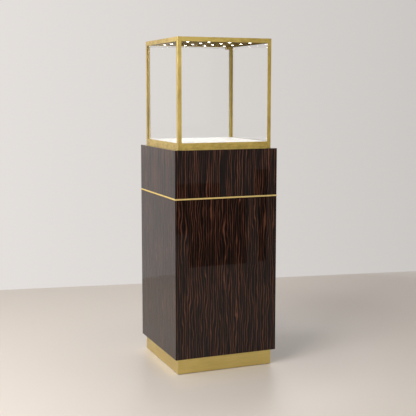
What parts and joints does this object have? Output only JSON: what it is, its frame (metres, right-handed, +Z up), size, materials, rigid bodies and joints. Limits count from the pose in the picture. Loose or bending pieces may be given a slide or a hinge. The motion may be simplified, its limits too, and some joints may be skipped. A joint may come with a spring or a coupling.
{
  "type": "jewelry display case",
  "caption": "Free-standing square showcase with a veneered storage base, locked drawer and rear door, and a lit glass vitrine in a brushed gold frame.",
  "frame": {"origin": "middle of the footprint, on the floor", "axes": "+X to the right along the front, +Y to the service side at the rear, +Z up"},
  "size_m": [0.452, 0.452, 1.375],
  "materials": {
    "veneer": "high gloss lacquer over dark striped veneer",
    "carcass": "dark laminate",
    "drawer_wood": "clear satin lacquer",
    "gold": "brushed",
    "gold_hardware": "satin",
    "plug_metal": "polished",
    "zinc_steel": "zinc plated",
    "clear_glass": "clear, polished edges",
    "clear_plastic": "clear acrylic",
    "lens": "lit diffuser",
    "white_board": "white wrapped board",
    "bronze_pan": "bronze anodised",
    "led_board": "white printed board",
    "driver_case": "white case",
    "dark_plastic": "black moulded",
    "nylon": "natural nylon",
    "cable_sheath": "black sheath"
  },
  "bodies": {
    "case": {"band_floor": "carcass", "band_front_panel": "veneer", "band_left_panel": "veneer", "band_right_panel": "veneer", "band_top": "veneer", "base_rails": "gold", "cabinet_bottom": "carcass", "cabinet_front_panel": "veneer", "cabinet_left_panel": "veneer", "cabinet_right_panel": "veneer", "cabinet_top": "carcass", "cable_clips": "dark_plastic", "cable_gland": "dark_plastic", "ceiling_pan": "bronze_pan", "display_board": "white_board", "door_stops": "clear_plastic", "floor_glides": "dark_plastic", "front_posts": "gold", "glass_front": "clear_glass", "glass_left": "clear_glass", "glass_lock_body": "gold_hardware", "glass_right": "clear_glass", "led_boards": "led_board", "led_cable": "cable_sheath", "led_driver": "driver_case", "led_lenses": "lens", "pivot_bushes": "nylon", "plinth_core": "carcass", "plinth_skirt": "gold", "rear_posts": "gold", "rear_sill": "gold", "shelf_pins": "zinc_steel", "slide_outer_members": "zinc_steel", "storage_hinge_frame_leaves": "gold_hardware", "storage_hinge_pins": "plug_metal", "storage_shelf": "carcass", "top_cover": "gold", "top_rail_rear": "gold", "top_rails": "gold", "trim_spacer": "carcass", "trim_strips": "gold"},
    "glass_door": {"glass_door": "clear_glass", "door_clamps": "gold_hardware", "door_strike": "gold_hardware", "door_grip": "gold_hardware"},
    "glass_lock": {"glass_lock_plug": "plug_metal"},
    "drawer": {"drawer_front": "veneer", "drawer_box": "drawer_wood", "drawer_bottom": "drawer_wood", "drawer_pull": "gold_hardware", "drawer_lock_body": "gold_hardware", "slide_inner_members": "zinc_steel"},
    "slide_middle": {"slide_middle_members": "zinc_steel"},
    "drawer_lock": {"drawer_lock_plug": "plug_metal"},
    "storage_door": {"storage_door": "veneer", "storage_pull": "gold_hardware", "storage_hinge_door_leaves": "gold_hardware", "storage_lock_body": "gold_hardware"},
    "storage_lock": {"storage_lock_plug": "plug_metal"}
  },
  "joints": [
    {"name": "glass_door_swing", "type": "hinge", "parent": "case", "child": "glass_door", "pos_m": [0.179, 0.197, 0.953], "axis": [0, 0, -1], "range_deg": [0, 100]},
    {"name": "glass_lock_turn", "type": "hinge", "parent": "case", "child": "glass_lock", "pos_m": [-0.142, 0.205, 0.933], "axis": [0, -1, 0], "range_deg": [0, 90]},
    {"name": "drawer_slide", "type": "slide", "parent": "case", "child": "drawer", "axis": [0, 1, 0], "range_m": [0, 0.3]},
    {"name": "slide_extension", "type": "slide", "parent": "case", "child": "slide_middle", "axis": [0, 1, 0], "range_m": [0, 0.15]},
    {"name": "drawer_lock_turn", "type": "hinge", "parent": "drawer", "child": "drawer_lock", "pos_m": [0, 0.217, 0.872], "axis": [0, 1, 0], "range_deg": [0, 90]},
    {"name": "storage_door_swing", "type": "hinge", "parent": "case", "child": "storage_door", "pos_m": [0.2036, 0.2204, 0.4], "axis": [0, 0, -1], "range_deg": [0, 110]},
    {"name": "storage_lock_turn", "type": "hinge", "parent": "storage_door", "child": "storage_lock", "pos_m": [-0.172, 0.217, 0.662], "axis": [0, 1, 0], "range_deg": [0, 90]}
  ],
  "couplings": [
    {"joint": "slide_extension", "follows": "drawer_slide", "ratio": 0.5}
  ]
}
